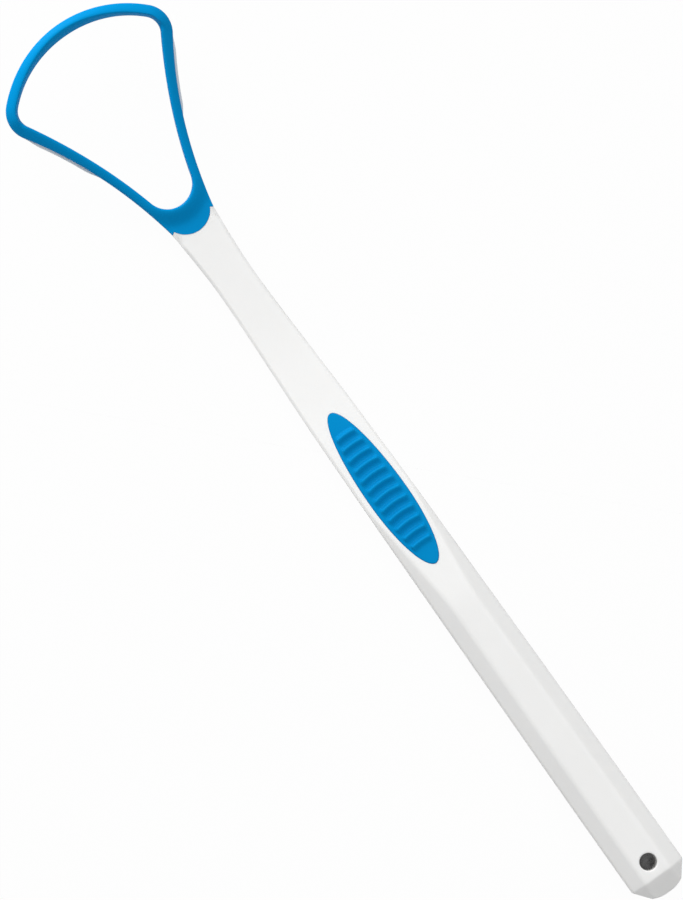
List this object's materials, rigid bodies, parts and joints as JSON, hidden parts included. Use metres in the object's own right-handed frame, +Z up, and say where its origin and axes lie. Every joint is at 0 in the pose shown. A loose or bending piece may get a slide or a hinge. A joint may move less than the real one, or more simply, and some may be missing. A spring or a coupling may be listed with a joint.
{
  "type": "tongue scraper",
  "caption": "Long slim handle with a facetted grip, a ribbed thumb pad and a hanging hole, running out into an upswept open loop with a soft raised scraping lip.",
  "frame": {"origin": "middle of the tool's length and width, at the height of the handle's flat underside", "axes": "+X along the tool towards the scraping loop, +Z up out of the thumb pad's side, XZ the plane of symmetry"},
  "size_m": [0.1908, 0.0344, 0.0157],
  "materials": {
    "moulded_white": "satin moulded polypropylene",
    "soft_blue": "satin thermoplastic elastomer"
  },
  "bodies": {
    "root": {"handle_core": "moulded_white", "head_skin": "soft_blue", "thumb_pad": "soft_blue"}
  },
  "joints": []
}
